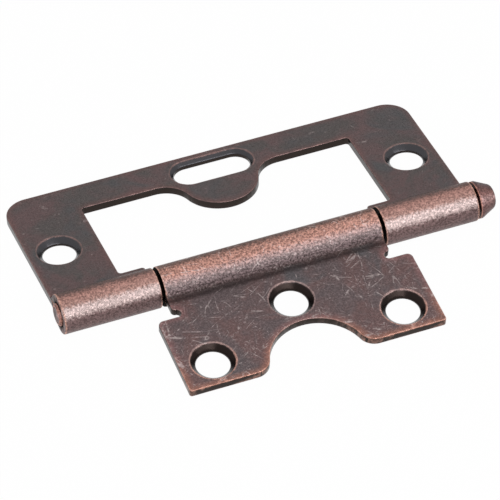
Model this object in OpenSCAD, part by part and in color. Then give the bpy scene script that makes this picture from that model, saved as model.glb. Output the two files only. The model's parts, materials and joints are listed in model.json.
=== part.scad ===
// Flush hinge with a loose pin, lying open on a flat surface as it comes to rest.
// X runs along the pin, from its plain tail to its head. The outer leaf points to +Y and the
// inner leaf to -Y. The origin is on the pin's axis, at the middle of the barrel.
// Both leaves slope down to the surface that the barrel rests on.

/* [Sheet and barrel] */
// Thickness of the sheet that both leaves are stamped from
sheet_t = 1.5; // [1.2:0.05:1.8]
// Length of the barrel, which is also the length of the outer leaf
barrel_len = 76.2; // [70:0.1:100]
// Gap between one knuckle and the next
knuckle_gap = 0.6; // [0.3:0.1:1.5]
// Radius of the hollow fillet where the sheet runs up into a knuckle
bend_r = 1.25; // [0.8:0.05:1.4]
// Angle round the barrel at which the sheet's last stretch runs straight
curl_end_angle = 40; // [30:1:50]
// Gap of the seam between a curl's end and its own leaf
seam_gap = 0.1; // [0.05:0.05:0.3]

/* [Pin] */
// Diameter of the pin's shaft
pin_d = 4; // [3.4:0.1:4.4]
// Clearance between the shaft and the knuckles, all round
pin_clearance = 0.05; // [0.03:0.01:0.1]
// How far the pin's tail stands out of the barrel
tail_proud = 0.5; // [0.2:0.1:1.5]
// Chamfer round the end of the tail
tail_chamfer = 0.3; // [0.1:0.05:0.6]
// Gap between the barrel and the pin's head
head_gap = 0.5; // [0.1:0.1:1]
// Diameter of the head's collar
collar_d = 6.7; // [6:0.1:7]
// Length of the head's collar
collar_len = 0.6; // [0.4:0.1:1]
// Length of the tapered part of the head, beyond its collar
taper_len = 2.8; // [2.6:0.1:5]
// Angle between the taper and the axis
taper_angle = 26; // [15:1:28]
// Radius between the taper and the flat nose
nose_r = 0.9; // [0.5:0.1:1]

/* [Inner leaf] */
// Distance from the pin's axis to the inner leaf's long edge
inner_reach = 23.7; // [21:0.1:28]
// Gap between the inner leaf's ears and the window's sides, when it lies in the window
side_gap = 1.95; // [1:0.05:3]
// How far each ear stands out past the leaf's one long knuckle
ear_w = 3.25; // [2.5:0.05:4.5]
// Distance from the pin's axis to the ears' near edge
ear_y = 7.8; // [7.4:0.1:8.4]
// Width of the notch between an ear and the barrel
notch_w = 1.5; // [1:0.1:1.6]
// How far each notch cuts in under the end of the long knuckle
notch_undercut = 1.3; // [0.9:0.1:1.6]
// Radius of the ears' near corners
ear_corner_r = 1; // [0.5:0.1:2]
// Radius of the inner leaf's far corners
inner_corner_r = 0.5; // [0.3:0.1:1.5]
// Radius of the scallop's round end
scallop_r = 8.6; // [8.2:0.1:9]
// Radius of the shoulders beside the scallop
shoulder_r = 3; // [2:0.1:3.4]
// Distance from the pin's axis to the middle screw hole
centre_hole_y = 10.65; // [10.2:0.05:11.5]
// Distance from the middle of that hole to the scallop's round end
scallop_wall = 5; // [4.4:0.1:5.6]
// Distance from the inner leaf's sides to its two far screw holes
inner_hole_inset = 5.95; // [5:0.05:6.5]
// Distance from the inner leaf's long edge to those two screw holes
inner_hole_margin = 5; // [4.6:0.1:6]

/* [Outer leaf] */
// Width of the outer leaf's sides, beside the window
side_w = 12.9; // [11.5:0.1:14]
// Width of the outer leaf's long side, beyond the window
back_w = 6.6; // [6:0.1:9]
// How far the middle of the outer leaf's sheet lies below the pin's axis
outer_drop = 0.4; // [0:0.05:0.5]
// Radius of the two corners of the long edge
outer_corner_r = 4.5; // [2:0.1:6]
// Gap between the window's near edge and the ears, when the inner leaf lies in the window
near_gap = 2; // [1:0.1:2.4]
// Gap between the window's far edge and the inner leaf's long edge, in the same way
far_gap = 1.8; // [1:0.1:3]
// Radius of the window's corners
window_corner_r = 0.6; // [0.3:0.1:1.5]
// Gap between the tip of the tongue and the scallop, in the same way
tongue_gap = 1.15; // [0.6:0.05:2]
// How much smaller the tongue's round end is than the scallop's, in radius
tongue_ease = 1.6; // [1:0.1:2]
// Radius of the fillets at the tongue's root
tongue_fillet_r = 5; // [3:0.1:6]
// Length of the slot in the tongue, end to end
slot_len = 14.1; // [10:0.1:14.4]
// Width of the slot
slot_w = 5.6; // [4.5:0.1:5.8]
// Distance from the outer leaf's long edge to the middle of the slot
slot_inset = 4.6; // [4.3:0.1:5]
// Depth of the slope round the slot's rim
slot_sink = 0.73; // [0.4:0.01:0.9]
// Distance from the outer leaf's ends to its two screw holes
outer_hole_inset = 5.55; // [5:0.05:7]
// Distance from the pin's axis to those two screw holes
outer_hole_y = 16.05; // [12:0.05:22]

/* [Screw holes] */
// Diameter of the screw holes
hole_d = 5.9; // [4:0.1:6.2]
// Diameter of the countersinks at the sheet's face
sink_d = 7.9; // [6.6:0.1:8.2]

/* [Hidden] */
$fn = 64;
leaf_colour = [0.33, 0.28, 0.28];
barrel_colour = [0.45, 0.36, 0.34];
pin_colour = [0.42, 0.33, 0.32];
// Length by which a cutter passes the face that it cuts
past = 1;
// Length by which shapes that are joined run into each other
lap = 0.4;
// Depth by which two stretches of a curl bite into each other
bite = 0.01;
window_w = barrel_len - 2 * side_w;
inner_w = window_w - 2 * side_gap;
centre_knuckle_len = inner_w - 2 * ear_w;
scallop_y = centre_hole_y + scallop_wall;
window_near = ear_y - near_gap;
window_far = inner_reach + far_gap;
outer_reach = window_far + back_w;
tongue_tip = scallop_y + tongue_gap;
tongue_r = scallop_r - tongue_ease;
bore_r = pin_d / 2 + pin_clearance;
barrel_r = bore_r + sheet_t;
mid_r = bore_r + sheet_t / 2;
bend_mid_r = bend_r + sheet_t / 2;
outer_knuckle_x = centre_knuckle_len / 2 + knuckle_gap;
// Angle by which each leaf slopes down until its far edge meets the surface
outer_tilt = slope(outer_reach, outer_drop + sheet_t / 2);
inner_tilt = slope(inner_reach, sheet_t / 2);

// Slope of a leaf that reaches so far from the axis, with its lower face so far below it
function slope(reach, depth) = asin(barrel_r / norm([reach, depth])) - atan2(depth, reach);
// Middle of the bend by which a leaf joins its knuckles, for a leaf that lies so far below the axis
function bend_centre(drop) =
    let (z = -drop - bend_mid_r) [sqrt((mid_r + bend_mid_r - bite) ^ 2 - z ^ 2), z];
// Angle, seen from the first circle's centre, between the line of centres and the crossing of two
// circles that stand reach apart, less the bite
function cross_angle(r, other_r, reach) =
    acos((r ^ 2 + (reach - bite) ^ 2 - other_r ^ 2) / (2 * r * (reach - bite)));
function arc(centre, r, from, to, steps) =
    [for (i = [0:steps]) let (a = from + (to - from) * i / steps) centre + r * [cos(a), sin(a)]];

// Flat sector of a ring between two angles
module ring_sector(outer_r, inner_r, from, to) {
    intersection() {
        difference() {
            circle(outer_r);
            circle(inner_r);
        }
        polygon(concat([[0, 0]], arc([0, 0], 2 * outer_r, from, to, ceil((to - from) / 45))));
    }
}

// Waste outside a rounded corner whose arc is centred on the origin, in the first quadrant
module corner_waste(r) {
    difference() {
        square(r + past);
        circle(r);
    }
}

// Round lobe that stands on the line y = 0 and runs into it with a fillet on each side
module lobe(len, r, fillet_r) {
    disc_y = len - r;
    fillet_x = sqrt((r + fillet_r) ^ 2 - (disc_y - fillet_r) ^ 2);
    meet = [0, disc_y] + [fillet_x, fillet_r - disc_y] * r / (r + fillet_r);
    translate([0, disc_y]) circle(r);
    difference() {
        polygon([
            [-fillet_x, -past], [fillet_x, -past], [fillet_x, 0], meet, [-meet.x, meet.y], [-fillet_x, 0]
        ]);
        for (side = [-1, 1]) translate([side * fillet_x, fillet_r]) circle(fillet_r);
    }
}

// Section of a knuckle whose leaf points to +Y: the sheet bends down, wraps under and round
// the pin, and its straight end comes down on the leaf's upper face. Where two stretches meet,
// one bites a hair into the other, and each runs on past the point where their skins cross.
module curl_section(drop) {
    bend = bend_centre(drop);
    meet_angle = atan2(bend.y, bend.x);
    bend_outer_r = bend_r + sheet_t;
    reach = barrel_r + bend_r;
    bend_lap = (cross_angle(barrel_r, bend_r, reach) + cross_angle(bore_r, bend_outer_r, reach)) / 2;
    end_lap = (acos(1 - bite / barrel_r) + acos(1 - bite / bore_r)) / 2;
    seam_z = sheet_t / 2 - drop + seam_gap;
    difference() {
        union() {
            ring_sector(barrel_r, bore_r, curl_end_angle - end_lap, 360 + meet_angle + bend_lap);
            intersection() {
                rotate(curl_end_angle) translate([bore_r - bite, -2 * barrel_r])
                    square([sheet_t, 2 * barrel_r]);
                translate([0, seam_z]) square(2 * barrel_r);
            }
            translate(bend) ring_sector(bend_outer_r, bend_r, 90, 180 + meet_angle + bend_lap);
            translate([bend.x, -drop - sheet_t / 2]) square([lap, sheet_t]);
        }
        circle(bore_r);
    }
}

// Knuckle along X from one end to the other
module knuckle(from, to, drop) {
    translate([from, 0, 0]) rotate([90, 0, 90]) linear_extrude(to - from) curl_section(drop);
}

// Cutter for a countersunk screw hole, with the origin in the sheet's upper face
module screw_hole() {
    sink = (sink_d - hole_d) / 2;
    translate([0, 0, -sheet_t - past]) cylinder(d = hole_d, h = sheet_t + 2 * past);
    translate([0, 0, -sink]) cylinder(d1 = hole_d, d2 = sink_d + 2 * past, h = sink + past);
}

// Cutter for the slot, with sloping sides at its rim
module slot_cutter() {
    run = slot_len - slot_w;
    half_w = slot_w / 2;
    top_w = half_w + slot_sink + past;
    translate([0, 0, -sheet_t - past]) linear_extrude(sheet_t + 2 * past) {
        square([run, slot_w], center = true);
        for (side = [-1, 1]) translate([side * run / 2, 0]) circle(half_w);
    }
    for (side = [0, 1]) mirror([side, 0, 0]) translate([run / 2, 0, 0])
        rotate([0, 0, -90]) rotate_extrude(angle = 180)
            polygon([[0, -slot_sink], [half_w, -slot_sink], [top_w, past], [0, past]]);
    translate([-run / 2, 0, 0]) rotate([90, 0, 90]) linear_extrude(run)
        polygon([[-half_w, -slot_sink], [half_w, -slot_sink], [top_w, past], [-top_w, past]]);
}

module window_outline() {
    r = window_corner_r;
    depth = window_far - window_near;
    difference() {
        translate([-window_w / 2, window_near]) square([window_w, depth]);
        for (side = [0, 1]) mirror([side, 0]) {
            translate([window_w / 2 - r, window_far - r]) corner_waste(r);
            translate([window_w / 2 - r, window_near + r]) mirror([0, 1]) corner_waste(r);
        }
        translate([0, window_far]) mirror([0, 1]) lobe(window_far - tongue_tip, tongue_r, tongue_fillet_r);
    }
}

module outer_leaf_outline() {
    r = outer_corner_r;
    strip_r = window_corner_r;
    start_y = bend_centre(outer_drop).x;
    difference() {
        translate([-barrel_len / 2, start_y]) square([barrel_len, outer_reach - start_y]);
        window_outline();
        translate([-outer_knuckle_x, start_y - past])
            square([2 * outer_knuckle_x, window_near + past - start_y + lap]);
        for (side = [0, 1]) mirror([side, 0]) {
            translate([barrel_len / 2 - r, outer_reach - r]) corner_waste(r);
            translate([outer_knuckle_x + strip_r, window_near - strip_r])
                mirror([1, 0]) corner_waste(strip_r);
        }
    }
}

module outer_leaf() {
    top_z = sheet_t / 2 - outer_drop;
    color(leaf_colour) rotate([-outer_tilt, 0, 0]) {
        difference() {
            union() {
                translate([0, 0, top_z - sheet_t]) linear_extrude(sheet_t) outer_leaf_outline();
                knuckle(-barrel_len / 2, -outer_knuckle_x, outer_drop);
                knuckle(outer_knuckle_x, barrel_len / 2, outer_drop);
            }
            for (side = [-1, 1])
                translate([side * (barrel_len / 2 - outer_hole_inset), outer_hole_y, top_z]) screw_hole();
            translate([0, outer_reach - slot_inset, top_z]) slot_cutter();
        }
    }
}

// Outline of the inner leaf, drawn towards +Y
module inner_leaf_outline() {
    half_w = inner_w / 2;
    neck_r = notch_w / 2;
    neck_x = centre_knuckle_len / 2;
    notch_x = neck_x - notch_undercut;
    neck_end_y = ear_y - notch_w;
    start_y = bend_centre(0).x;
    difference() {
        union() {
            translate([-half_w, ear_y]) square([inner_w, inner_reach - ear_y]);
            translate([-neck_x, start_y]) square([2 * neck_x, ear_y - start_y + lap]);
        }
        for (side = [0, 1]) mirror([side, 0]) {
            translate([notch_x + neck_r, neck_end_y]) square([neck_x, notch_w]);
            translate([notch_x + neck_r, ear_y - neck_r]) circle(neck_r);
            translate([neck_x - neck_r, neck_end_y - neck_r]) corner_waste(neck_r);
            translate([half_w - ear_corner_r, ear_y + ear_corner_r])
                mirror([0, 1]) corner_waste(ear_corner_r);
            translate([half_w - inner_corner_r, inner_reach - inner_corner_r])
                corner_waste(inner_corner_r);
        }
        translate([0, inner_reach]) mirror([0, 1]) lobe(inner_reach - scallop_y, scallop_r, shoulder_r);
    }
}

module inner_leaf() {
    color(barrel_colour) rotate([180 + inner_tilt, 0, 0]) difference() {
        union() {
            translate([0, 0, -sheet_t / 2]) linear_extrude(sheet_t) inner_leaf_outline();
            knuckle(-centre_knuckle_len / 2, centre_knuckle_len / 2, 0);
        }
        translate([0, 0, -sheet_t / 2]) mirror([0, 0, 1]) {
            for (side = [-1, 1])
                translate([side * (inner_w / 2 - inner_hole_inset), inner_reach - inner_hole_margin, 0])
                    screw_hole();
            translate([0, centre_hole_y, 0]) screw_hole();
        }
    }
}

module hinge_pin() {
    shaft_r = pin_d / 2;
    tail_x = -barrel_len / 2 - tail_proud;
    head_x = barrel_len / 2 + head_gap;
    taper_x = head_x + collar_len;
    nose_x = taper_x + taper_len;
    // Middle of the arc that touches both the taper and the nose's flat end
    arc_x = nose_x - nose_r;
    arc_y = collar_d / 2 - (nose_r - (taper_x - arc_x) * sin(taper_angle)) / cos(taper_angle);
    profile = concat(
        [[0, tail_x], [shaft_r - tail_chamfer, tail_x], [shaft_r, tail_x + tail_chamfer]],
        [[shaft_r, head_x], [collar_d / 2, head_x], [collar_d / 2, taper_x]],
        arc([arc_y, arc_x], nose_r, taper_angle, 90, 6),
        [[0, nose_x]]
    );
    color(pin_colour) rotate([0, 90, 0]) rotate_extrude() polygon(profile);
}

outer_leaf();
inner_leaf();
hinge_pin();
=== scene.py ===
"""Looks of a flush hinge in antique copper, lying open on a pale studio floor."""

import json
import logging
import math
from dataclasses import dataclass, field
from enum import Enum
from typing import Any

import bmesh
import bpy
from mathutils import Matrix, Vector
from mathutils.kdtree import KDTree

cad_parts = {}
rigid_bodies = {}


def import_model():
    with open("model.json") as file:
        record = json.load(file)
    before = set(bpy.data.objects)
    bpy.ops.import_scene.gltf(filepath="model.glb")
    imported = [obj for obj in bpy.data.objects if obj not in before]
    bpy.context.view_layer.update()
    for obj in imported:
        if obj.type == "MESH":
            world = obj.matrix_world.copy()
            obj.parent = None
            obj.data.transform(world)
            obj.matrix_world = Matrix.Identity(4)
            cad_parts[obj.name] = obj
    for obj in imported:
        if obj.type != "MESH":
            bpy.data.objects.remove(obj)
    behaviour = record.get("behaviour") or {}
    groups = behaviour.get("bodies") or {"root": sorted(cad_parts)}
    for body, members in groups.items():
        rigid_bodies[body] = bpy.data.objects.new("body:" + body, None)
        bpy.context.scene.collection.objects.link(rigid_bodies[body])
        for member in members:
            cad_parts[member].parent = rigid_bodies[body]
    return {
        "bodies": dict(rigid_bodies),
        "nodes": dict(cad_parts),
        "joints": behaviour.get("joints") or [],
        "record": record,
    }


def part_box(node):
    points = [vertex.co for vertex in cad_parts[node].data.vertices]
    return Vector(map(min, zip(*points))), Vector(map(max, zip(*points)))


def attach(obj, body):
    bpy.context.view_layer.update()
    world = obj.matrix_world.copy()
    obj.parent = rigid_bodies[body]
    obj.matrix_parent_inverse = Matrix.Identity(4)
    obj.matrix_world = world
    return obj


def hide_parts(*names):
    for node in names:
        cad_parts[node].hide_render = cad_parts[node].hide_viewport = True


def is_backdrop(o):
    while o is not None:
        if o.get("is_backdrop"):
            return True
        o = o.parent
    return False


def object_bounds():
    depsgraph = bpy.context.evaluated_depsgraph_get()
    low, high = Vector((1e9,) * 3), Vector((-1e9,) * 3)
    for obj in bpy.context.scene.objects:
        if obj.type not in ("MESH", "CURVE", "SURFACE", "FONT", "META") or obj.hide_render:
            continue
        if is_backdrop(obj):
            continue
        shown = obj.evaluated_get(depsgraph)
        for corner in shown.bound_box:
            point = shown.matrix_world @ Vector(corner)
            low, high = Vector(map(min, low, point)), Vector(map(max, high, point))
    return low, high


MM = 0.001
EDGE_ATTRIBUTE = "edge_distance"
FACING_ATTRIBUTE = "facing"
# Marks the bore and the gaps between the knuckles for painted shade, and the pin's shaft for grime.
GRIME_AND_SHADE_ATTRIBUTE = "grime_and_shade"
OUTLINE_ATTRIBUTE = "outline_distance"
LOG = logging.getLogger("flush_hinge")

Socket = bpy.types.NodeSocket
Sockets = bpy.types.bpy_prop_collection
Tone = tuple[float, float, float, float]
Line = tuple[Vector, Vector]
Span = tuple[float, float]


def tone(red: int, green: int, blue: int) -> Tone:
    """Turn a colour as a screen shows it into the linear colour that shaders take.

    Args:
        red: Red, 0 to 255.
        green: Green, 0 to 255.
        blue: Blue, 0 to 255.

    Returns:
        The linear colour, with an alpha of 1.
    """
    linear = []
    for level in (red, green, blue):
        share = level / 255
        linear.append(share / 12.92 if share <= 0.04045 else ((share + 0.055) / 1.055) ** 2.4)
    return (*linear, 1.0)


class Region(Enum):
    """The piece that a finish lies on."""

    OUTER_LEAF = "outer_leaf"
    INNER_LEAF = "inner_leaf"
    PIN = "hinge_pin"


class Graph:
    """A node tree that is being built."""

    def __init__(self, tree: bpy.types.NodeTree) -> None:
        """Keep the tree.

        Args:
            tree: The tree to add nodes to.
        """
        self.tree = tree

    def add(self, kind: str, inputs: dict[Any, Any] | None = None, **settings: Any) -> bpy.types.Node:
        """Add one node, set its properties and fill its inputs.

        Args:
            kind: The node's full type name.
            inputs: Values or output sockets for the inputs, by name or number.
            **settings: Properties of the node.

        Returns:
            The new node.
        """
        node = self.tree.nodes.new(kind)
        for name, value in settings.items():
            setattr(node, name, value)
        self.fill(node, inputs or {})
        return node

    def fill(self, node: bpy.types.Node, inputs: dict[Any, Any]) -> None:
        """Set or link some inputs of a node.

        Args:
            node: The node.
            inputs: Values or output sockets for the inputs, by name or number.
        """
        for name, value in inputs.items():
            if isinstance(value, Socket):
                self.tree.links.new(value, node.inputs[name])
            else:
                node.inputs[name].default_value = value

    def math(self, operation: str, *values: Any, clamp: bool = False) -> Socket:
        """Add a Math node.

        Args:
            operation: The node's operation.
            *values: Its inputs, numbers or sockets.
            clamp: Whether the result is kept between 0 and 1.

        Returns:
            The result.
        """
        node = self.add("ShaderNodeMath", dict(enumerate(values)), operation=operation, use_clamp=clamp)
        return node.outputs[0]

    def vector_math(self, operation: str, *values: Any, output: int = 0) -> Socket:
        """Add a Vector Math node.

        Args:
            operation: The node's operation.
            *values: Its inputs.
            output: The number of the output that is wanted.

        Returns:
            That output.
        """
        node = self.add("ShaderNodeVectorMath", dict(enumerate(values)), operation=operation)
        return node.outputs[output]

    def spread(self, share: Any, low: Any, high: Any) -> Socket:
        """Go evenly from low where a share is 0 to high where it is 1.

        Args:
            share: The share.
            low: The result at 0.
            high: The result at 1.

        Returns:
            The result.
        """
        node = self.add("ShaderNodeMapRange", {"Value": share, "To Min": low, "To Max": high})
        return node.outputs["Result"]

    def inverse(self, share: Any) -> Socket:
        """Give 1 less a share."""
        return self.math("SUBTRACT", 1.0, share)

    def sway(self, share: Any, amount: Any) -> Socket:
        """Turn a share into a change of either sign, by up to half of an amount."""
        return self.math("MULTIPLY", self.math("SUBTRACT", share, 0.5), amount)

    def mark(self, attribute: str) -> Socket:
        """Read a number that is stored at the mesh's points."""
        return self.add("ShaderNodeAttribute", attribute_name=attribute).outputs["Fac"]

    def ease(self, value: Any, low: Any, high: Any) -> Socket:
        """Go smoothly from 0 at low to 1 at high.

        Args:
            value: What is measured.
            low: Where the result is 0.
            high: Where the result is 1.

        Returns:
            The result.
        """
        node = self.add(
            "ShaderNodeMapRange",
            {"Value": value, "From Min": low, "From Max": high},
            interpolation_type="SMOOTHSTEP",
        )
        return node.outputs["Result"]

    def noise(
        self, vector: Any, scale: Any, detail: float = 2.0, rough: float = 0.5, twist: float = 0.0
    ) -> Socket:
        """Add a Noise texture.

        Args:
            vector: Where it is read.
            scale: Its scale.
            detail: Its octaves.
            rough: How much the finer octaves count.
            twist: Its distortion.

        Returns:
            The noise, from 0 to 1.
        """
        node = self.add(
            "ShaderNodeTexNoise",
            {"Vector": vector, "Scale": scale, "Detail": detail, "Roughness": rough, "Distortion": twist},
        )
        return node.outputs[0]

    def mix(self, share: Any, first: Any, second: Any, blend: str = "MIX") -> Socket:
        """Mix two colours.

        Args:
            share: How much of the second one.
            first: The first colour.
            second: The second colour.
            blend: The way they are mixed.

        Returns:
            The mixed colour.
        """
        node = self.add("ShaderNodeMix", data_type="RGBA", blend_type=blend)
        self.fill(node, {0: share, 6: first, 7: second})
        return node.outputs[2]

    def group(self, tree: bpy.types.NodeTree, inputs: dict[str, Any]) -> bpy.types.Node:
        """Place a node group.

        Args:
            tree: The group.
            inputs: Its inputs, by name.

        Returns:
            The group's node.
        """
        return self.add("ShaderNodeGroup", inputs, node_tree=tree)


class EffectGroup:
    """A shader node group with named inputs and outputs, while it is being built."""

    def __init__(self, name: str, inputs: dict[str, float], outputs: list[str]) -> None:
        """Make the group and its sockets. Every group reads a place as its first input.

        Args:
            name: The group's name.
            inputs: Its number inputs and their usual values.
            outputs: Its number outputs.
        """
        self.tree = bpy.data.node_groups.new(name, "ShaderNodeTree")
        face = self.tree.interface
        face.new_socket("Place", in_out="INPUT", socket_type="NodeSocketVector")
        for socket_name, usual in inputs.items():
            socket = face.new_socket(socket_name, in_out="INPUT", socket_type="NodeSocketFloat")
            socket.default_value = usual
        for socket_name in outputs:
            face.new_socket(socket_name, in_out="OUTPUT", socket_type="NodeSocketFloat")
        self.graph = Graph(self.tree)
        self.given = self.graph.add("NodeGroupInput").outputs
        self.result = self.graph.add("NodeGroupOutput").inputs

    def put(self, name: str, value: Socket) -> None:
        """Send a value to one of the group's outputs."""
        self.tree.links.new(value, self.result[name])


@dataclass
class Effects:
    """The shader effects that the finishes share.

    A noise runs from 0 to 1 and is mostly near 0.5, so a span says from where to where it counts. Breaks
    and specks show where a noise is above their limit, which an effect's Amount lowers by up to its reach,
    and soft is how far above it they are at their full strength.
    """

    patch_size: float = 8 * MM
    patch_span: Span = (0.38, 0.62)
    grain_size: float = 0.3 * MM
    grain_span: Span = (0.36, 0.64)
    scratch_turns: tuple[float, ...] = (0.25, 0.95, 1.7, 2.6)
    scratch_shift: tuple[float, float] = (0.37, 0.11)
    scratch_stretch: float = 0.16
    scratch_spacing: float = 1.5
    break_spacing: float = 1.7
    break_limit: float = 0.66
    break_reach: float = 0.24
    break_soft: float = 0.16
    speck_size: float = 0.3 * MM
    speck_limit: float = 0.67
    speck_reach: float = 0.12
    speck_soft: float = 0.1
    cloud_size: float = 3.5 * MM
    cloud_span: Span = (0.42, 0.66)
    wear_size: float = 1.1 * MM
    barrel_radius: float = 3.55 * MM
    barrel_slack: float = 0.1 * MM
    barrel_soft: float = 0.45 * MM
    hollow_core: float = 0.1 * MM
    mottle: bpy.types.NodeTree = field(init=False)
    scratches: bpy.types.NodeTree = field(init=False)
    edge_wear: bpy.types.NodeTree = field(init=False)
    barrel: bpy.types.NodeTree = field(init=False)

    def __post_init__(self) -> None:
        """Build each effect once."""
        self.mottle = self._mottle()
        self.scratches = self._scratches()
        self.edge_wear = self._edge_wear()
        self.barrel = self._barrel()

    def _mottle(self) -> bpy.types.NodeTree:
        """Build soft patches and a fine grain.

        Returns:
            The effect.
        """
        sizes = {"Patch Size": self.patch_size, "Grain Size": self.grain_size}
        effect = EffectGroup("patches_and_grain", sizes, ["Patch", "Grain"])
        graph, place = effect.graph, effect.given["Place"]
        patch_scale = graph.math("DIVIDE", 1.0, effect.given["Patch Size"])
        grain_scale = graph.math("DIVIDE", 1.0, effect.given["Grain Size"])
        patch = graph.noise(place, patch_scale, detail=4, rough=0.6, twist=0.6)
        grain = graph.noise(place, grain_scale, detail=3, rough=0.75)
        effect.put("Patch", graph.ease(patch, *self.patch_span))
        effect.put("Grain", graph.ease(grain, *self.grain_span))
        return effect.tree

    def _scratches(self) -> bpy.types.NodeTree:
        """Build fine, short, slightly curved scratches and small specks.

        Returns:
            The effect.
        """
        sizes = {"Length": 5 * MM, "Width": 0.02, "Amount": 0.5}
        effect = EffectGroup("fine_scratches", sizes, ["Lines", "Specks"])
        graph, given = effect.graph, effect.given
        scale = graph.math("DIVIDE", 1.0, given["Length"])
        lines = None
        for number, turn in enumerate(self.scratch_turns):
            shift = Vector((0.0, *self.scratch_shift)) * number
            moved = graph.vector_math("ADD", given["Place"], shift)
            line = self._scratch_set(graph, given, scale, moved, turn)
            lines = line if lines is None else graph.math("MAXIMUM", lines, line)
        effect.put("Lines", lines)
        effect.put("Specks", self._specks(graph, given))
        return effect.tree

    def _scratch_set(
        self, graph: Graph, given: Sockets, scale: Socket, place: Socket, turn: float
    ) -> Socket:
        """Draw one set of scratches that run much the same way, each broken into short pieces.

        Args:
            graph: The effect's nodes.
            given: The effect's inputs.
            scale: How many scratch lengths go into a metre.
            place: Where the set is read.
            turn: Which way it runs.

        Returns:
            The scratches, 1 on a line and 0 beside it.
        """
        turned = graph.add(
            "ShaderNodeVectorRotate",
            {"Vector": place, "Angle": turn, "Axis": (0.0, 0.0, 1.0)},
            rotation_type="AXIS_ANGLE",
        ).outputs[0]
        stretch = (self.scratch_stretch, 1.0, 1.0)
        drawn = graph.add("ShaderNodeMapping", {"Vector": turned, "Scale": stretch}).outputs[0]
        spacing = graph.math("MULTIPLY", scale, self.scratch_spacing)
        wave = graph.noise(drawn, spacing, detail=3, rough=0.35, twist=0.15)
        offset = graph.math("ABSOLUTE", graph.math("SUBTRACT", wave, 0.5))
        line = graph.inverse(graph.ease(offset, 0.0, given["Width"]))
        breaks = graph.noise(place, graph.math("MULTIPLY", scale, self.break_spacing), detail=3, rough=0.75)
        wanted = graph.math("MULTIPLY", given["Amount"], self.break_reach)
        limit = graph.math("SUBTRACT", self.break_limit, wanted)
        part = graph.ease(breaks, limit, graph.math("ADD", limit, self.break_soft))
        return graph.math("MULTIPLY", line, part)

    def _specks(self, graph: Graph, given: Sockets) -> Socket:
        """Draw small specks that gather in loose clouds.

        Args:
            graph: The effect's nodes.
            given: The effect's inputs.

        Returns:
            The specks, 1 on a speck and 0 beside it.
        """
        dots = graph.noise(given["Place"], 1 / self.speck_size, detail=3, rough=0.7)
        cloud = graph.noise(given["Place"], 1 / self.cloud_size, detail=3, rough=0.7, twist=0.5)
        wanted = graph.math("MULTIPLY", given["Amount"], self.speck_reach)
        limit = graph.math("SUBTRACT", self.speck_limit, wanted)
        speck = graph.ease(dots, limit, graph.math("ADD", limit, self.speck_soft))
        return graph.math("MULTIPLY", speck, graph.ease(cloud, *self.cloud_span))

    def _edge_wear(self) -> bpy.types.NodeTree:
        """Build the rubbed line along the sharp edges, and the wider zone beside it, in millimetres.

        Returns:
            The effect.
        """
        sizes = {"Line": 0.26, "Zone": 1.2, "Breaks": 0.5}
        effect = EffectGroup("edge_wear", sizes, ["Line", "Zone"])
        graph, given = effect.graph, effect.given
        uneven = graph.noise(given["Place"], 1 / self.wear_size, detail=3, rough=0.65)
        uneven = graph.sway(uneven, given["Breaks"])
        for name, attribute in (("Line", EDGE_ATTRIBUTE), ("Zone", OUTLINE_ATTRIBUTE)):
            worn = graph.math("ADD", graph.mark(attribute), uneven)
            effect.put(name, graph.inverse(graph.ease(worn, 0.0, given[name])))
        return effect.tree

    def _barrel(self) -> bpy.types.NodeTree:
        """Build where the barrel is, the place round it, and the hollow where the sheet leaves it, which
        gets painted shade.

        Round goes from 0 at the barrel's underside, over its top at 0.5, to 1 at its underside again, and
        its front lies at 0.75.

        Returns:
            The effect.
        """
        sizes = {"Radius": self.barrel_radius, "Hollow Y": 0.0, "Hollow Z": 0.0, "Hollow Reach": 1.2 * MM}
        effect = EffectGroup("barrel_place", sizes, ["On Barrel", "Round", "Hollow Shade"])
        graph, given = effect.graph, effect.given
        parts = graph.add("ShaderNodeSeparateXYZ", {"Vector": given["Place"]}).outputs
        flat = graph.add("ShaderNodeCombineXYZ", {"Y": parts["Y"], "Z": parts["Z"]}).outputs[0]
        reach = graph.vector_math("LENGTH", flat, output=1)
        limit = graph.math("ADD", given["Radius"], self.barrel_slack)
        beyond = graph.ease(reach, limit, graph.math("ADD", limit, self.barrel_soft))
        angle = graph.math("ARCTAN2", graph.math("MULTIPLY", parts["Y"], -1.0), parts["Z"])
        hollow_shade = {"Y": given["Hollow Y"], "Z": given["Hollow Z"]}
        hollow_shade = graph.add("ShaderNodeCombineXYZ", hollow_shade).outputs[0]
        away = graph.vector_math("DISTANCE", flat, hollow_shade, output=1)
        effect.put("On Barrel", graph.inverse(beyond))
        effect.put("Round", graph.math("MULTIPLY_ADD", angle, 0.5 / math.pi, 0.5))
        # The hollow mask: 1 in the crease where the sheet leaves the barrel, where the finish paints shade.
        effect.put("Hollow Shade", graph.inverse(graph.ease(away, self.hollow_core, given["Hollow Reach"])))
        return effect.tree


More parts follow.
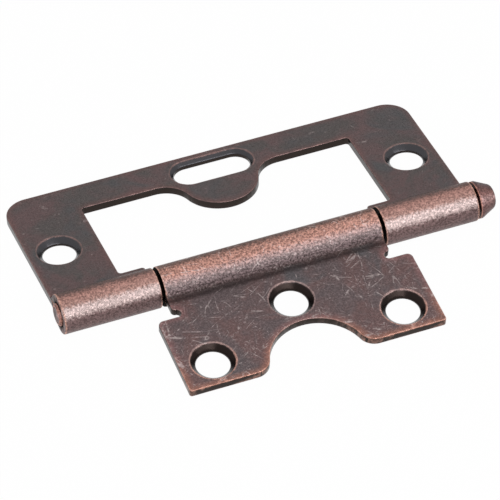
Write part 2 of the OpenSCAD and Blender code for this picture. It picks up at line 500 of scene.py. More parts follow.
@dataclass(frozen=True)
class AntiqueCopper:
    """Copper plating, blackened and then rubbed back where it stands proud.

    The values are the outer leaf's, and the other pieces' finishes change some of them. A share says how
    much of a colour goes in. A span says from where to where a change goes: of how far a face turns away
    from the sheet's flat for sink, side and wall, and of how far it lies before the barrel for front. The
    widths of zone and ring are in millimetres, and the colours round the barrel are listed at angles from
    its top, in degrees and positive to the front, with the colour at each. Some colours are painted light:
    round the barrel, a painted highlight band at about 40 to 60 degrees and darker flanks and back that are
    partly patina and partly painted shade; a painted highlight on top of the wear along the front edge;
    painted shade in the hollow where the sheet leaves the barrel; and near black painted shade in the bore
    and between the knuckles.
    """

    region: Region
    flat: Tone = tone(88, 82, 81)
    flat_warm: Tone = tone(97, 80, 80)
    flat_cool: Tone = tone(83, 81, 82)
    cool_size: float = 11 * MM
    cool_span: Span = (0.5, 0.66)
    wall: Tone = tone(54, 47, 44)
    wall_span: Span = (0.55, 0.9)
    sink: Tone = tone(72, 71, 74)
    sink_span: Span = (0.1, 0.3)
    side_span: Span = (0.25, 0.75)
    # Painted shade, laid in the hollow where the sheet leaves the barrel.
    hollow_shade: Tone = tone(46, 38, 37)
    hollow_shade_share: float = 0.75
    hollow_place: tuple[float, float] = (4.28 * MM, 0.13 * MM)
    hollow_reach: float = 0.7 * MM
    # Near black painted shade in the bore and on the knuckles' ends in the gaps; the pin's finish makes it a
    # dark brown grime on its shaft.
    grime_and_shade: Tone = tone(20, 13, 10)
    edge: Tone = tone(150, 120, 115)
    zone: Tone = tone(112, 80, 77)
    zone_share: float = 0.45
    zone_width: float = 1.6
    line_share: float = 0.6
    # The front edge, which faces the front light, is worn and brightened further as a painted highlight,
    # also on its wall.
    front_span: Span = (14 * MM, 22 * MM)
    front_edge_wear_and_highlight: Tone = tone(226, 172, 154)
    front_zone_wear_and_highlight: Tone = tone(164, 114, 98)
    front_wall_wear_and_highlight_share: float = 0.6
    ring: Tone = tone(206, 160, 143)
    ring_share: float = 0.6
    ring_width: float = 0.45
    # Colours round the barrel: rubbed copper over the top, a painted highlight band at about 40 to 60
    # degrees, and darker flanks and back that are partly patina and partly painted shade.
    round_barrel_and_painted_light: tuple[tuple[float, Tone], ...] = (
        (-60, tone(74, 60, 58)),
        (-15, tone(104, 80, 75)),
        (5, tone(166, 126, 117)),
        (28, tone(162, 128, 120)),
        (42, tone(192, 172, 169)),
        (57, tone(190, 170, 167)),
        (70, tone(116, 95, 94)),
        (110, tone(114, 93, 92)),
    )
    border_size: float = 0.45 * MM
    border_sway: float = 0.1
    scratch: Tone = tone(190, 176, 174)
    scratch_length: float = 4.5 * MM
    scratch_width: float = 0.012
    scratch_amount: float = 0.3
    scratch_share: float = 0.38
    barrel_scratch_share: float = 0.3
    grain_size: float = 0.36 * MM
    grain_height: float = 0.05 * MM
    flat_grain: float = 0.4
    barrel_grain: float = 0.9
    patch_sway: float = 0.08
    bump_strength: float = 0.8
    roughness_span: Span = (0.32, 0.5)
    sink_roughness: float = 0.27
    grime_and_shade_roughness: float = 0.4

    def make(self, effects: Effects) -> bpy.types.Material:
        """Build the material.

        Args:
            effects: The shared shader effects.

        Returns:
            The material.
        """
        material = bpy.data.materials.new(f"antique_copper_{self.region.value}")
        material.use_nodes = True
        graph = Graph(material.node_tree)
        material.node_tree.nodes.clear()
        place = graph.add("ShaderNodeTexCoord").outputs["Object"]
        mottle = graph.group(effects.mottle, {"Place": place, "Grain Size": self.grain_size}).outputs
        hollow_y, hollow_z = self.hollow_place
        hollow_shade = {"Hollow Y": hollow_y, "Hollow Z": hollow_z, "Hollow Reach": self.hollow_reach}
        barrel = graph.group(effects.barrel, {"Place": place, **hollow_shade}).outputs
        off_barrel = graph.inverse(barrel["On Barrel"])
        sunk = graph.math("MULTIPLY", off_barrel, graph.ease(self._turned_away(graph), *self.sink_span))
        colour = self._flats(graph, place, mottle)
        colour = graph.mix(barrel["On Barrel"], colour, self._barrel(graph, place, barrel))
        colour = self._rub(graph, effects, place, barrel, colour)
        colour = self._scratch(graph, effects, place, barrel, colour)
        # Paint shade into the hollow where the sheet leaves the barrel.
        colour = graph.mix(graph.math("MULTIPLY", barrel["Hollow Shade"], self.hollow_shade_share), colour, self.hollow_shade)
        colour = self._grain(graph, barrel, mottle, sunk, colour)
        # Painted shade, near black, in the bore and the gaps between the knuckles, and grime on the pin's
        # shaft.
        grime_and_shade = graph.mark(GRIME_AND_SHADE_ATTRIBUTE)
        colour = graph.mix(grime_and_shade, colour, self.grime_and_shade)
        rough = graph.spread(mottle["Grain"], *self.roughness_span)
        rough = graph.spread(sunk, rough, self.sink_roughness)
        rough = graph.math("ADD", rough, graph.math("MULTIPLY", grime_and_shade, self.grime_and_shade_roughness))
        height = graph.math("MULTIPLY", mottle["Grain"], graph.inverse(sunk))
        relief = {"Strength": self.bump_strength, "Distance": self.grain_height, "Height": height}
        bump = graph.add("ShaderNodeBump", relief).outputs[0]
        metal = {"Base Color": colour, "Metallic": 1.0, "Roughness": rough, "Normal": bump}
        shader = graph.add("ShaderNodeBsdfPrincipled", metal).outputs[0]
        graph.add("ShaderNodeOutputMaterial", {"Surface": shader})
        return material

    @staticmethod
    def _turned_away(graph: Graph) -> Socket:
        """Give 0 on the sheet's faces, about 0.3 in a countersink and 1 on a wall."""
        return graph.inverse(graph.mark(FACING_ATTRIBUTE))

    def _flats(self, graph: Graph, place: Socket, mottle: Sockets) -> Socket:
        """Colour the sheet: patches on its faces, and its darker walls and countersinks.

        Args:
            graph: The material's nodes.
            place: Where it is read.
            mottle: The patches and the grain.

        Returns:
            The colour.
        """
        cool = graph.noise(place, 1 / self.cool_size, detail=3, rough=0.55, twist=0.4)
        colour = graph.mix(mottle["Patch"], self.flat, self.flat_warm)
        colour = graph.mix(graph.ease(cool, *self.cool_span), colour, self.flat_cool)
        away = self._turned_away(graph)
        colour = graph.mix(graph.ease(away, *self.sink_span), colour, self.sink)
        return graph.mix(graph.ease(away, *self.wall_span), colour, self.wall)

    def _barrel(self, graph: Graph, place: Socket, barrel: Sockets) -> Socket:
        """Colour the barrel by the place round it, with speckled borders: rubbed copper over the top, a
        painted highlight band toward the front, and darker flanks and back that are partly patina and partly
        painted shade.

        Args:
            graph: The material's nodes.
            place: Where it is read.
            barrel: The barrel's place and hollow.

        Returns:
            The colour.
        """
        specks = graph.noise(place, 1 / self.border_size, detail=3, rough=0.75)
        uneven = graph.sway(specks, self.border_sway)
        ramp = graph.add("ShaderNodeValToRGB", {"Fac": graph.math("ADD", barrel["Round"], uneven)})
        stops = ramp.color_ramp.elements
        while len(stops) < len(self.round_barrel_and_painted_light):
            stops.new(0.5)
        for stop, (angle, colour) in zip(stops, self.round_barrel_and_painted_light):
            stop.position = 0.5 + angle / 360
            stop.color = colour
        return ramp.outputs["Color"]

    def _rub(
        self, graph: Graph, effects: Effects, place: Socket, barrel: Sockets, colour: Socket
    ) -> Socket:
        """Rub the plating through along the edges, most of all at the front and the knuckles' ends, and
        brighten the front edge further as a painted highlight.

        Args:
            graph: The material's nodes.
            effects: The shared shader effects.
            place: Where it is read.
            barrel: The barrel's place and hollow.
            colour: The colour so far.

        Returns:
            The colour with the wear.
        """
        on_barrel = barrel["On Barrel"]
        width = graph.spread(on_barrel, self.zone_width, self.ring_width)
        wear = graph.group(effects.edge_wear, {"Place": place, "Zone": width}).outputs
        depth = graph.add("ShaderNodeSeparateXYZ", {"Vector": place}).outputs["Y"]
        # Front: the edge before the barrel, worn and brightened as a painted highlight where the front light
        # catches it.
        front = graph.ease(graph.math("MULTIPLY", depth, -1.0), *self.front_span)
        on_face = graph.inverse(graph.ease(self._turned_away(graph), *self.side_span))
        on_face = graph.math("MAXIMUM", on_face, on_barrel)
        zone = graph.mix(front, graph.mix(on_barrel, self.zone, self.ring), self.front_zone_wear_and_highlight)
        share = graph.math("MULTIPLY", graph.spread(on_barrel, self.zone_share, self.ring_share), on_face)
        colour = graph.mix(graph.math("MULTIPLY", wear["Zone"], share), colour, zone)
        line = graph.mix(front, graph.mix(on_barrel, self.edge, self.ring), self.front_edge_wear_and_highlight)
        share = graph.math("MAXIMUM", on_face, graph.math("MULTIPLY", front, self.front_wall_wear_and_highlight_share))
        share = graph.math("MULTIPLY", share, self.line_share)
        return graph.mix(graph.math("MULTIPLY", wear["Line"], share), colour, line)

    def _scratch(
        self, graph: Graph, effects: Effects, place: Socket, barrel: Sockets, colour: Socket
    ) -> Socket:
        """Scratch the barrel and the faces, but not the walls and the countersinks.

        Args:
            graph: The material's nodes.
            effects: The shared shader effects.
            place: Where it is read.
            barrel: The barrel's place and hollow.
            colour: The colour so far.

        Returns:
            The colour with the scratches.
        """
        size = {"Length": self.scratch_length, "Width": self.scratch_width, "Amount": self.scratch_amount}
        marks = graph.group(effects.scratches, {"Place": place, **size}).outputs
        marked = graph.math("MAXIMUM", marks["Lines"], marks["Specks"])
        share = graph.spread(barrel["On Barrel"], self.scratch_share, self.barrel_scratch_share)
        on_top = graph.inverse(graph.ease(self._turned_away(graph), *self.sink_span))
        share = graph.math("MULTIPLY", share, graph.math("MAXIMUM", on_top, barrel["On Barrel"]))
        return graph.mix(graph.math("MULTIPLY", marked, share), colour, self.scratch)

    def _grain(
        self, graph: Graph, barrel: Sockets, mottle: Sockets, sunk: Socket, colour: Socket
    ) -> Socket:
        """Lighten and darken the colour with the grain, more so on the barrel and not where it is sunk.

        Args:
            graph: The material's nodes.
            barrel: The barrel's place and hollow.
            mottle: The patches and the grain.
            sunk: 1 on walls and in countersinks, and 0 elsewhere.
            colour: The colour so far.

        Returns:
            The colour with the grain.
        """
        amount = graph.spread(barrel["On Barrel"], self.flat_grain, self.barrel_grain)
        amount = graph.math("MULTIPLY", amount, graph.inverse(sunk))
        level = graph.math("ADD", 1.0, graph.sway(mottle["Patch"], self.patch_sway))
        level = graph.math("ADD", level, graph.sway(mottle["Grain"], amount))
        shade = graph.add("ShaderNodeCombineColor", {0: level, 1: level, 2: level}).outputs[0]
        return graph.mix(1.0, colour, shade, blend="MULTIPLY")


def inner_leaf_finish() -> AntiqueCopper:
    """Give the inner leaf's finish, which is paler, more scratched, and worn along its front edge, where a
    painted highlight brightens the wear.
    """
    return AntiqueCopper(
        Region.INNER_LEAF,
        flat=tone(104, 92, 93),
        flat_warm=tone(109, 88, 87),
        flat_cool=tone(96, 92, 94),
        sink=tone(42, 35, 33),
        hollow_place=(-4.25 * MM, 0.35 * MM),
        hollow_reach=1.3 * MM,
        edge=tone(172, 146, 142),
        zone=tone(142, 104, 103),
        zone_share=0.65,
        line_share=0.8,
        # Colours round the barrel: rubbed copper over the top, a greyer band below it, and darker flanks and
        # back that are partly patina and partly painted shade, darkest at 84 degrees where the sheet leaves
        # the barrel.
        round_barrel_and_painted_light=(
            (-60, tone(84, 62, 56)),
            (-15, tone(112, 84, 76)),
            (2, tone(176, 132, 119)),
            (24, tone(180, 136, 124)),
            (40, tone(164, 138, 135)),
            (54, tone(130, 115, 115)),
            (70, tone(122, 106, 107)),
            (84, tone(78, 64, 64)),
        ),
        scratch_amount=0.75,
        scratch_share=0.75,
        barrel_scratch_share=0.8,
        flat_grain=0.5,
        barrel_grain=1.1,
    )


def pin_finish() -> AntiqueCopper:
    """Give the pin's finish, with a duller head that carries a painted highlight band, and a grimy shaft
    whose dark brown also stands in for the shade in the gaps between the knuckles.
    """
    return AntiqueCopper(
        Region.PIN,
        grime_and_shade=tone(52, 42, 39),
        ring=tone(196, 142, 126),
        ring_share=0.5,
        ring_width=0.3,
        # Colours round the pin: a painted highlight band at about 50 degrees, and darker flanks and back
        # that are partly patina and partly painted shade.
        round_barrel_and_painted_light=(
            (-60, tone(72, 56, 56)),
            (-10, tone(88, 68, 68)),
            (15, tone(112, 82, 79)),
            (35, tone(136, 100, 96)),
            (50, tone(172, 140, 138)),
            (62, tone(146, 114, 112)),
            (76, tone(112, 84, 82)),
            (110, tone(108, 84, 82)),
        ),
    )


def even_normals(piece: bpy.types.Object, weight: int = 80) -> None:
    """Shade a piece by its larger faces, so that they look flat beside their rounded edges.

    Args:
        piece: The piece.
        weight: How much the larger faces count, where 50 is plain.
    """
    weighted = piece.modifiers.new("even_normals", "WEIGHTED_NORMAL")
    weighted.weight = weight
    weighted.keep_sharp = False


@dataclass
class StampedLeaf:
    """One leaf with its knuckles, with the edges of its sheet rounded a little.

    Aligned, countersink_slope and wall_slope are cosines: of a face that lies along the sheet or a knuckle's
    end, of a countersink and of an upright wall. Unworn is a distance in millimetres at which no wear shows.
    """

    node: str
    finish: AntiqueCopper
    edge_round: float = 0.16 * MM
    edge_steps: int = 3
    grid: float = 0.97 * MM
    weld: float = 0.002 * MM
    cut_snap: float = 0.0002 * MM
    mark_step: float = 0.1 * MM
    sharp_angle: float = math.radians(32)
    flat_angle: float = math.radians(0.4)
    aligned: float = 0.95
    end_aligned: float = 0.9
    countersink_slope: Span = (0.6, 0.8)
    wall_slope: float = 0.1
    land_limit: float = 1.0 * MM
    barrel_radius: float = 3.75 * MM
    bore: float = 2.2 * MM
    gap_reach: float = 30 * MM
    unworn: float = 3.0

    def build(self, source: bpy.types.Object, material: bpy.types.Material) -> bpy.types.Object:
        """Make the leaf's mesh from the solid, and dress it.

        Args:
            source: The solid's own object.
            material: The leaf's finish.

        Returns:
            The new object.
        """
        mesh = source.data.copy()
        mesh.name = f"{self.node}_metal"
        mesh.materials.clear()
        mesh.materials.append(material)
        shape = bmesh.new()
        shape.from_mesh(mesh)
        bmesh.ops.remove_doubles(shape, verts=shape.verts, dist=self.weld)
        bmesh.ops.dissolve_limit(
            shape,
            angle_limit=self.flat_angle,
            verts=shape.verts,
            edges=shape.edges,
            use_dissolve_boundaries=False,
        )
        every, outline = self._sharp_lines(shape)
        flat = self._flat_normal(shape)
        self._round_edges(shape)
        self._refine(shape)
        shape.to_mesh(mesh)
        shape.free()
        for face in mesh.polygons:
            face.use_smooth = True
        self._mark_edges(mesh, every, EDGE_ATTRIBUTE)
        self._mark_edges(mesh, outline, OUTLINE_ATTRIBUTE)
        self._mark_facing(mesh, flat)
        self._mark_grime_and_shade(mesh)
        piece = bpy.data.objects.new(f"{self.node}_metal", mesh)
        bpy.context.scene.collection.objects.link(piece)
        even_normals(piece)
        return piece

    def _sharp_lines(self, shape: bmesh.types.BMesh) -> tuple[list[Line], list[Line]]:
        """List the sharp edges that wear.

        Args:
            shape: The sheet, before its edges are rounded.

        Returns:
            The edges of the sheet's faces and of the knuckles' ends, and those of them that are not the rim
            of a countersink.
        """
        flat = self._flat_normal(shape)
        low, high = self.countersink_slope
        every, outline = [], []
        for edge in shape.edges:
            if len(edge.link_faces) != 2 or edge.calc_face_angle_signed(0.0) < self.sharp_angle:
                continue
            start, end = (point.co.copy() for point in edge.verts)
            slopes = [abs(face.normal.dot(flat)) for face in edge.link_faces]
            if any(self._is_land(face, flat) for face in edge.link_faces):
                continue
            at_end = any(abs(face.normal.x) > self.aligned for face in edge.link_faces)
            if max(slopes) > self.aligned or (at_end and self.bore < start.yz.length < self.barrel_radius):
                every.append((start, end))
                if not any(low < slope < high for slope in slopes):
                    outline.append((start, end))
        return every, outline

    def _is_land(self, face: bmesh.types.BMFace, flat: Vector) -> bool:
        """Tell whether a face is the short straight wall below a countersink.

        Args:
            face: The face.
            flat: The way that the sheet's flat faces.

        Returns:
            Whether it is such a wall, and not the sheet's own edge.
        """
        heights = [point.co.dot(flat) for point in face.verts]
        upright = abs(face.normal.dot(flat)) < self.wall_slope
        return upright and max(heights) - min(heights) < self.land_limit

    @staticmethod
    def _flat_normal(shape: bmesh.types.BMesh) -> Vector:
        """Give the way that the widest face looking up faces."""
        return max(shape.faces, key=lambda face: face.calc_area() * face.normal.z).normal.copy()

    def _round_edges(self, shape: bmesh.types.BMesh) -> None:
        """Round the edges that stand proud and sharp.

        Args:
            shape: The sheet.
        """
        sharp = [
            edge
            for edge in shape.edges
            if len(edge.link_faces) == 2 and edge.calc_face_angle_signed(0.0) > self.sharp_angle
        ]
        bmesh.ops.bevel(
            shape,
            geom=sharp,
            offset=self.edge_round,
            segments=self.edge_steps,
            profile=0.5,
            affect="EDGES",
            clamp_overlap=False,
            miter_outer="SHARP",
            miter_inner="SHARP",
            loop_slide=True,
        )

    def _refine(self, shape: bmesh.types.BMesh) -> None:
        """Cut the faces along a grid, so that the wear along the edges has points to sit on.

        Args:
            shape: The sheet, with its edges rounded.
        """
        bmesh.ops.triangulate(shape, faces=shape.faces)
        for axis in (0, 1):
            across = Vector((0, 0, 0))
            across[axis] = 1.0
            low = min(point.co[axis] for point in shape.verts)
            high = max(point.co[axis] for point in shape.verts)
            for number in range(1, math.ceil((high - low) / self.grid)):
                parts = shape.verts[:] + shape.edges[:] + shape.faces[:]
                cut = across * (low + number * self.grid)
                bmesh.ops.bisect_plane(shape, geom=parts, dist=self.cut_snap, plane_co=cut, plane_no=across)
        bmesh.ops.triangulate(shape, faces=[face for face in shape.faces if len(face.verts) > 4])

    def _mark_edges(self, mesh: bpy.types.Mesh, lines: list[Line], attribute: str) -> None:
        """Store at each point how far it is from the nearest of some edges, in millimetres.

        Args:
            mesh: The mesh to mark.
            lines: The edges.
            attribute: The name to store it under.
        """
        places: list[Vector] = []
        for start, end in lines:
            count = max(1, math.ceil((end - start).length / self.mark_step))
            places += [start.lerp(end, i / count) for i in range(count + 1)]
        tree = KDTree(len(places))
        for number, place in enumerate(places):
            tree.insert(place, number)
        tree.balance()
        distances = [tree.find(point.co)[2] / MM for point in mesh.vertices]
        for number in self._end_face_points(mesh):
            distances[number] = max(distances[number], self.unworn)
        marks = mesh.attributes.new(attribute, "FLOAT", "POINT")
        marks.data.foreach_set("value", distances)

    def _end_face_points(self, mesh: bpy.types.Mesh) -> set[int]:
        """List the points that lie on nothing but a knuckle's flat end.

        Args:
            mesh: The leaf's mesh.

        Returns:
            The points' numbers.
        """
        inside, other = set(), set()
        for face in mesh.polygons:
            at_end = abs(face.normal.x) > self.end_aligned and face.center.yz.length < self.barrel_radius
            (inside if at_end else other).update(face.vertices)
        return inside - other

    @staticmethod
    def _mark_facing(mesh: bpy.types.Mesh, flat: Vector) -> None:
        """Store at each point how much it faces the way of the sheet's flat: 1 on the flat, 0 on a wall.

        Args:
            mesh: The mesh to mark.
            flat: The way that the sheet's flat faces.
        """
        facing = [0.0] * len(mesh.vertices)
        count = [0] * len(mesh.vertices)
        for face in mesh.polygons:
            share = abs(face.normal.dot(flat))
            for number in face.vertices:
                facing[number] += share
                count[number] += 1
        marks = mesh.attributes.new(FACING_ATTRIBUTE, "FLOAT", "POINT")
        marks.data.foreach_set("value", [total / max(1, parts) for total, parts in zip(facing, count)])

    def _mark_grime_and_shade(self, mesh: bpy.types.Mesh) -> None:
        """Store 1 at the points inside the bore and in the gaps between the knuckles, where the finish
        paints shade, and 0 elsewhere.

        Args:
            mesh: The mesh to mark.
        """
        grime_and_shade = [0.0] * len(mesh.vertices)
        for face in mesh.polygons:
            reach = face.center.yz.length
            at_end = abs(face.normal.x) > self.end_aligned and reach < self.barrel_radius
            if (at_end and abs(face.center.x) < self.gap_reach) or reach < self.bore:
                for number in face.vertices:
                    grime_and_shade[number] = 1.0
        marks = mesh.attributes.new(GRIME_AND_SHADE_ATTRIBUTE, "FLOAT", "POINT")
        marks.data.foreach_set("value", grime_and_shade)


@dataclass
class TurnedPin:
    """The pin, turned to one profile about the barrel's axis: shaft, collar, taper and nose."""

    node: str
    finish: AntiqueCopper
    shaft_radius: float = 2.0 * MM
    shaft_slack: float = 0.04 * MM
    tail_chamfer: float = 0.3 * MM
    head_x: float = 38.6 * MM
    collar_length: float = 0.6 * MM
    taper_angle: float = math.radians(26)
    nose_radius: float = 0.9 * MM
    nose_steps: int = 6
    corner_round: float = 0.09 * MM
    corner_steps: int = 4
    stretch_cuts: int = 7
    sides: int = 128
    seal: float = 0.001 * MM

    def build(self, material: bpy.types.Material) -> bpy.types.Object:
        """Turn the profile with Geometry Nodes, and keep the result as a plain mesh.

        Args:
            material: The pin's finish.

        Returns:
            The new object.
        """
        profile, worn = self._profile()
        mesh = bpy.data.meshes.new("pin_profile")
        # The ring below has the shaft's radius and carries the profile, which is drawn from there.
        points = [(radius - self.shaft_radius, -along, 0.0) for along, radius in profile]
        mesh.from_pydata(points, [(number, number + 1) for number in range(len(points) - 1)], [])
        piece = bpy.data.objects.new(f"{self.node}_metal", mesh)
        bpy.context.scene.collection.objects.link(piece)
        turning = piece.modifiers.new("turning", "NODES")
        turning.node_group = self._tree()
        values = {
            "Axis Radius": self.shaft_radius,
            "Corner Round": self.corner_round,
            "Corner Steps": self.corner_steps,
            "Stretch Cuts": self.stretch_cuts,
            "Sides": self.sides,
            "Seal": self.seal,
            "Material": material,
        }
        for socket in turning.node_group.interface.items_tree:
            if socket.name in values:
                turning[socket.identifier] = values[socket.name]
        evaluated = piece.evaluated_get(bpy.context.evaluated_depsgraph_get())
        turned = bpy.data.meshes.new_from_object(evaluated)
        piece.modifiers.remove(turning)
        piece.data = turned
        self._face_outwards(turned)
        self._mark(turned, worn)
        even_normals(piece)
        return piece

    def _profile(self) -> tuple[list[tuple[float, float]], list[tuple[float, float]]]:
        """Work out the profile from the pin's box and sizes.

        Returns:
            The profile's points and, of these, the corners that wear, as places along the axis and radii.
            The corners are the tail's two and the collar's edge beside the knuckle.
        """
        low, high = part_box(self.node)
        tail_x, nose_x, collar_radius = low[0], high[0], (high[2] - low[2]) / 2
        taper_x = self.head_x + self.collar_length
        arc_x = nose_x - self.nose_radius
        sine, cosine = math.sin(self.taper_angle), math.cos(self.taper_angle)
        arc_radius = collar_radius - (self.nose_radius - (taper_x - arc_x) * sine) / cosine
        nose = []
        for step in range(self.nose_steps + 1):
            angle = self.taper_angle + (math.pi / 2 - self.taper_angle) * step / self.nose_steps
            along = arc_x + self.nose_radius * math.sin(angle)
            nose.append((along, arc_radius + self.nose_radius * math.cos(angle)))
        chamfer = self.tail_chamfer
        tail = [(tail_x, self.shaft_radius - chamfer), (tail_x + chamfer, self.shaft_radius)]
        collar = [(self.head_x, collar_radius), (taper_x, collar_radius)]
        profile = [(tail_x, 0.0), *tail, (self.head_x, self.shaft_radius), *collar, *nose, (nose_x, 0.0)]
        return profile, [*tail, collar[0]]

    @staticmethod
    def _tree() -> bpy.types.NodeTree:
        """Build the nodes that round a profile's corners and turn it about the X axis.

        Returns:
            The nodes.
        """
        tree = bpy.data.node_groups.new("turned_profile", "GeometryNodeTree")
        face = tree.interface
        face.new_socket("Profile", in_out="INPUT", socket_type="NodeSocketGeometry")
        kinds = {
            "Axis Radius": "NodeSocketFloat",
            "Corner Round": "NodeSocketFloat",
            "Corner Steps": "NodeSocketInt",
            "Stretch Cuts": "NodeSocketInt",
            "Sides": "NodeSocketInt",
            "Seal": "NodeSocketFloat",
            "Material": "NodeSocketMaterial",
        }
        for name, kind in kinds.items():
            face.new_socket(name, in_out="INPUT", socket_type=kind)
        face.new_socket("Turned", in_out="OUTPUT", socket_type="NodeSocketGeometry")
        graph = Graph(tree)
        given = graph.add("NodeGroupInput").outputs
        curve = graph.add("GeometryNodeMeshToCurve", {"Mesh": given["Profile"]}).outputs[0]
        corners = {"Curve": curve, "Count": given["Corner Steps"], "Radius": given["Corner Round"]}
        corners["Limit Radius"] = True
        curve = graph.add("GeometryNodeFilletCurve", corners, mode="POLY").outputs[0]
        cuts = {"Curve": curve, "Cuts": given["Stretch Cuts"]}
        curve = graph.add("GeometryNodeSubdivideCurve", cuts).outputs[0]
        ring = {"Resolution": given["Sides"], "Radius": given["Axis Radius"]}
        ring = graph.add("GeometryNodeCurvePrimitiveCircle", ring).outputs[0]
        turned = graph.add("GeometryNodeCurveToMesh", {"Curve": ring, "Profile Curve": curve}).outputs[0]
        sealed = {"Geometry": turned, "Distance": given["Seal"]}
        turned = graph.add("GeometryNodeMergeByDistance", sealed).outputs[0]
        laid = {"Geometry": turned, "Rotation": (0.0, math.pi / 2, 0.0)}
        turned = graph.add("GeometryNodeTransform", laid).outputs[0]
        turned = graph.add("GeometryNodeSetShadeSmooth", {"Geometry": turned}).outputs[0]
        turned = graph.add("GeometryNodeRealizeInstances", {"Geometry": turned}).outputs[0]
        dressed = {"Geometry": turned, "Material": given["Material"]}
        turned = graph.add("GeometryNodeSetMaterial", dressed).outputs[0]
        tree.links.new(turned, graph.add("NodeGroupOutput").inputs["Turned"])
        return tree

    @staticmethod
    def _face_outwards(mesh: bpy.types.Mesh) -> None:
        """Turn every face outwards.

        Args:
            mesh: The pin's mesh.
        """
        shape = bmesh.new()
        shape.from_mesh(mesh)
        bmesh.ops.recalc_face_normals(shape, faces=shape.faces)
        shape.to_mesh(mesh)
        shape.free()

    def _mark(self, mesh: bpy.types.Mesh, worn: list[tuple[float, float]]) -> None:
        """Store what the finish reads: the distance from the worn corners, and where the shaft is grimy, a
        dark brown that also stands in for the shade in the gaps between the knuckles.

        Args:
            mesh: The pin's mesh.
            worn: The corners that wear, as places along the axis and radii.
        """
        corners = [Vector(corner) for corner in worn]
        places = [Vector((point.co.x, point.co.yz.length)) for point in mesh.vertices]
        distances = [min((place - corner).length for corner in corners) / MM for place in places]
        widest = self.shaft_radius + self.shaft_slack
        start = min(place.x for place in places) + 2 * self.tail_chamfer
        end = self.head_x - self.corner_round
        grime_and_shade = [float(start < place.x < end and place.y < widest) for place in places]
        values = {
            EDGE_ATTRIBUTE: distances,
            OUTLINE_ATTRIBUTE: distances,
            FACING_ATTRIBUTE: [1.0] * len(places),
            GRIME_AND_SHADE_ATTRIBUTE: grime_and_shade,
        }
        for name, marks in values.items():
            mesh.attributes.new(name, "FLOAT", "POINT").data.foreach_set("value", marks)


@dataclass
class Softbox:
    """A soft lamp that hangs some way from the origin and faces it."""

    name: str
    direction: tuple[float, float, float]
    size: tuple[float, float]
    distance: float
    level: float

    def build(self) -> None:
        """Hang the lamp. A level of 1 makes its face as bright as white."""
        data = bpy.data.lights.new(self.name, "AREA")
        data.shape = "RECTANGLE"
        data.size, data.size_y = self.size
        data.energy = self.level * math.pi * self.size[0] * self.size[1]
        lamp = bpy.data.objects.new(self.name, data)
        direction = Vector(self.direction)
        lamp.location = direction.normalized() * self.distance
        lamp.rotation_euler = direction.to_track_quat("Z", "Y").to_euler()
        bpy.context.scene.collection.objects.link(lamp)


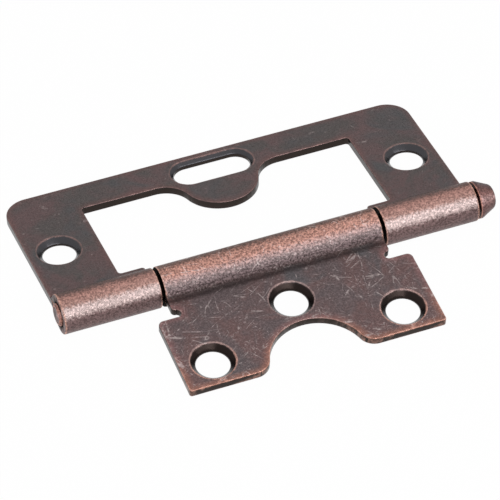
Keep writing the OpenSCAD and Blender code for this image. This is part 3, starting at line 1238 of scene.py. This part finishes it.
@dataclass
class Studio:
    """The pale floor, the plain light and the camera.

    The camera's angles are in degrees, and its focal length and sensor in millimetres.
    """

    floor_z: float
    floor_half: float = 6.0
    floor_white: float = 0.985
    floor_paint: Tone = tone(238, 238, 238)
    fill_light: float = 0.55
    backdrop: float = 0.9
    position: tuple[float, float, float] = (-0.16748, -0.43513, 0.43491)
    azimuth: float = 20.609
    elevation: float = 42.889
    roll: float = -0.951
    focal_length: float = 267.23
    sensor: float = 36.0
    shift: tuple[float, float] = (0.00545, -0.00088)
    clip: Span = (0.01, 100.0)
    lamps: tuple[Softbox, ...] = (
        Softbox("front_strip", (0.258, -0.789, 0.557), (0.9, 0.12), 0.6, 5.0),
        Softbox("top_box", (0.2, 0.15, 0.97), (0.7, 0.4), 0.7, 0.5),
    )

    def build(self) -> None:
        """Make the floor, the light and the camera."""
        bpy.context.scene.view_settings.view_transform = "Standard"
        self._camera()
        self._floor()
        self._world()
        for lamp in self.lamps:
            lamp.build()

    def _camera(self) -> None:
        """Place the camera."""
        data = bpy.data.cameras.new("camera")
        data.sensor_width = self.sensor
        data.lens = self.focal_length
        data.shift_x, data.shift_y = self.shift
        data.clip_start, data.clip_end = self.clip
        camera = bpy.data.objects.new("camera", data)
        turn = Matrix.Rotation(-math.radians(self.azimuth), 4, "Z")
        tip = Matrix.Rotation(math.radians(90 - self.elevation), 4, "X")
        bank = Matrix.Rotation(math.radians(self.roll), 4, "Z")
        camera.matrix_world = Matrix.Translation(Vector(self.position)) @ turn @ tip @ bank
        bpy.context.scene.collection.objects.link(camera)
        bpy.context.scene.camera = camera

    def _floor(self) -> None:
        """Lay the floor, which shows white to the camera apart from a soft shadow."""
        mesh = bpy.data.meshes.new("floor")
        half = self.floor_half
        corners = [(x * half, y * half, self.floor_z) for x, y in ((-1, -1), (1, -1), (1, 1), (-1, 1))]
        mesh.from_pydata(corners, [], [(0, 1, 2, 3)])
        floor = bpy.data.objects.new("floor", mesh)
        bpy.context.scene.collection.objects.link(floor)
        material = bpy.data.materials.new("pale_floor")
        material.use_nodes = True
        graph = Graph(material.node_tree)
        material.node_tree.nodes.clear()
        paint = graph.add("ShaderNodeBsdfDiffuse", {"Color": self.floor_paint})
        white = graph.add("ShaderNodeEmission", {"Color": (1, 1, 1, 1), "Strength": 1.0})
        share = graph.math("MULTIPLY", self._seen(graph), self.floor_white)
        both = graph.add("ShaderNodeMixShader", {0: share, 1: paint.outputs[0], 2: white.outputs[0]})
        graph.add("ShaderNodeOutputMaterial", {"Surface": both.outputs[0]})
        mesh.materials.append(material)
        floor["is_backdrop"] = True

    @staticmethod
    def _seen(graph: Graph) -> Socket:
        """Tell the rays that see the background, straight or as a reflection, from those that light.

        Args:
            graph: The nodes to add to.

        Returns:
            1 for the rays that see it, and 0 for the rest.
        """
        path = graph.add("ShaderNodeLightPath").outputs
        seen = graph.math("MAXIMUM", path["Is Camera Ray"], path["Is Glossy Ray"])
        return graph.math("MAXIMUM", seen, path["Is Transmission Ray"])

    def _world(self) -> None:
        """Light the scene evenly, and show white where the background is seen."""
        world = bpy.data.worlds.new("studio")
        world.use_nodes = True
        bpy.context.scene.world = world
        graph = Graph(world.node_tree)
        world.node_tree.nodes.clear()
        strength = graph.spread(self._seen(graph), self.fill_light, self.backdrop)
        light = graph.add("ShaderNodeBackground", {"Color": (1, 1, 1, 1), "Strength": strength})
        graph.add("ShaderNodeOutputWorld", {"Surface": light.outputs[0]})


class FlushHinge:
    """The whole hinge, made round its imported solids."""

    def __init__(self, frame: dict[str, Any]) -> None:
        """Keep the frame.

        Args:
            frame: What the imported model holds.
        """
        self.frame = frame
        self.effects = Effects()

    def build(self) -> None:
        """Make and dress every piece."""
        leaves = [
            StampedLeaf("outer_leaf", AntiqueCopper(Region.OUTER_LEAF)),
            StampedLeaf("inner_leaf", inner_leaf_finish()),
        ]
        for leaf in leaves:
            material = leaf.finish.make(self.effects)
            self._place(leaf.build(self.frame["nodes"][leaf.node], material), leaf.node)
        pin = TurnedPin("hinge_pin", pin_finish())
        self._place(pin.build(pin.finish.make(self.effects)), pin.node)

    @staticmethod
    def _place(piece: bpy.types.Object, node: str) -> None:
        """Let a piece stand for its solid, on the body of the same name.

        Args:
            piece: The dressed piece.
            node: The solid's node.
        """
        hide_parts(node)
        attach(piece, node)
        LOG.info("%s: %d faces", piece.name, len(piece.data.polygons))


def main() -> None:
    """Build the hinge and its studio."""
    logging.basicConfig(level=logging.INFO, format="%(name)s %(message)s")
    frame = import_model()
    packed = [list(corner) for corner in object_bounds()]
    FlushHinge(frame).build()
    Studio(floor_z=packed[0][2]).build()


if __name__ == "__main__":
    main()
